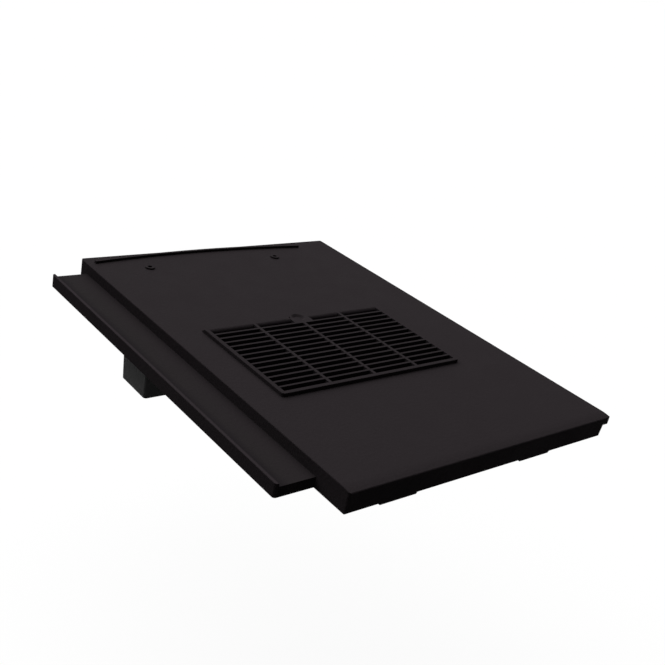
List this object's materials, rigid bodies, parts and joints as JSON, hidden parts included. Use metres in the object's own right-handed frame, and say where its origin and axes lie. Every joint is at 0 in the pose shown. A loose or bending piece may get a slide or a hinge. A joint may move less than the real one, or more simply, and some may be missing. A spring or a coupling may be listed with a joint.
{
  "type": "roof tile vent",
  "caption": "Flat interlocking roof tile with a raised slatted vent grille in its middle and a flat rectangular duct spigot hanging under it.",
  "frame": {"origin": "midway between the two nail holes, on the plate's top face", "axes": "+X across the roof towards the overlock edge, +Y up the slope from tail to head, +Z out of the roof"},
  "size_m": [0.332, 0.42, 0.0999],
  "materials": {
    "tile": "black moulded plastic with a fine matte grain",
    "duct": "dark grey moulded plastic, matte"
  },
  "bodies": {
    "root": {"tile_body": "tile", "duct_tray": "duct"}
  },
  "joints": []
}
